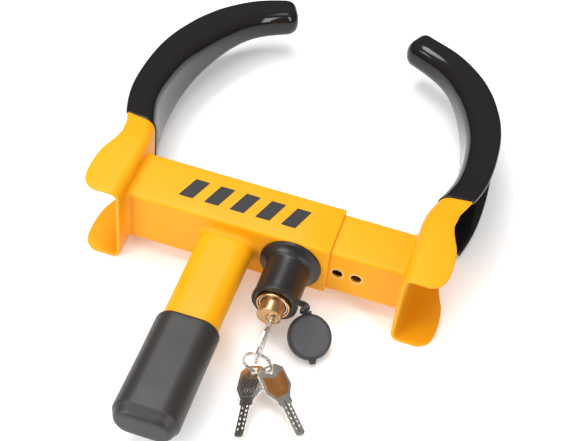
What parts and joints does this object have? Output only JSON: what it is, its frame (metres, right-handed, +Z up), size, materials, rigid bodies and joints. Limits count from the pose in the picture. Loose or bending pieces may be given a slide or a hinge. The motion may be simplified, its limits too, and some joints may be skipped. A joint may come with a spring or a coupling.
{
  "type": "wheel clamp",
  "caption": "Adjustable wheel clamp: two dipped steel jaws on telescoping square tubes close round a tyre and are held by a push-in key lock, with a gripped handle",
  "frame": {"origin": "the middle of the underside of the bounding box, on the floor the clamp lies on", "axes": "+X along the tubes from the fixed jaw to the sliding jaw, +Y towards the jaw tips with the handle at -Y, +Z up"},
  "size_m": [0.3276, 0.504, 0.0792],
  "materials": {
    "paint": "satin yellow powder coat over welded steel",
    "vinyl": "glossy black dipped vinyl",
    "grip_rubber": "matt black rubber with a fine grain",
    "boot": "semi-gloss black moulded cover",
    "cap_rubber": "matt dark grey rubber",
    "brass": "turned brass",
    "zinc_steel": "bright steel",
    "nickel": "nickel plate"
  },
  "bodies": {
    "frame": {"fixed_jaw": "paint", "fixed_jaw_sleeve": "vinyl", "outer_tube": "paint", "handle_tube": "paint", "handle_grip": "grip_rubber", "lock_housing": "zinc_steel", "lock_boot": "boot", "lock_collar": "brass", "retaining_ring": "zinc_steel", "spring_washer": "zinc_steel", "cap_band": "boot"},
    "slider": {"inner_tube": "paint", "sliding_jaw": "paint", "sliding_jaw_sleeve": "vinyl"},
    "plunger": {"lock_plunger": "brass", "lock_bolt": "zinc_steel", "plunger_spring": "zinc_steel", "driver_pin_1": "zinc_steel", "driver_pin_2": "zinc_steel", "driver_pin_3": "zinc_steel", "pin_spring_1": "zinc_steel", "pin_spring_2": "zinc_steel", "pin_spring_3": "zinc_steel"},
    "lug": {"locking_lug": "zinc_steel"},
    "core": {"lock_core": "brass", "lock_cam": "zinc_steel", "key_pin_1": "brass", "key_pin_2": "brass", "key_pin_3": "brass"},
    "key": {"key_inserted": "nickel"},
    "ring": {"key_ring": "nickel"},
    "spare_a": {"spare_key_a": "nickel"},
    "spare_b": {"spare_key_b": "nickel"},
    "cap": {"dust_cap": "cap_rubber"}
  },
  "joints": [
    {"name": "jaw_slide", "type": "slide", "parent": "frame", "child": "slider", "axis": [1, 0, 0], "range_m": [-0.0552, 0.039]},
    {"name": "plunger_slide", "type": "slide", "parent": "frame", "child": "plunger", "axis": [0, 1, 0], "range_m": [0, 0.015], "stiffness_N_per_m": 300, "springref_m": -0.01, "deforming": ["plunger_spring"]},
    {"name": "core_turn", "type": "hinge", "parent": "plunger", "child": "core", "pos_m": [0.0292, -0.11899, 0.0396], "axis": [0, -1, 0], "range_deg": [0, 90]},
    {"name": "lug_throw", "type": "slide", "parent": "plunger", "child": "lug", "axis": [-1, 0, 0], "range_m": [0, 0.002]},
    {"name": "key_slide", "type": "slide", "parent": "core", "child": "key", "axis": [0, -1, 0], "range_m": [0, 0.02]},
    {"name": "ring_swing", "type": "hinge", "parent": "key", "child": "ring", "pos_m": [0.0292, -0.15799, 0.041], "axis": [-1, 0, 0], "range_deg": [0, 60]},
    {"name": "spare_a_slip", "type": "hinge", "parent": "ring", "child": "spare_a", "pos_m": [0.03, -0.15799, 0.0294], "axis": [0, 1, 0], "range_deg": [0, 40]},
    {"name": "spare_b_slip", "type": "hinge", "parent": "ring", "child": "spare_b", "pos_m": [0.03, -0.15799, 0.0294], "axis": [0, -1, 0], "range_deg": [0, 40]},
    {"name": "cap_flip", "type": "hinge", "parent": "frame", "child": "cap", "pos_m": [0.05109, -0.09304, 0.02836], "axis": [-0.8267, -0.5472, 0.1305], "range_deg": [0, 60]}
  ],
  "couplings": [
    {"joint": "lug_throw", "follows": "core_turn", "m_per_rad": 0.001273}
  ]
}
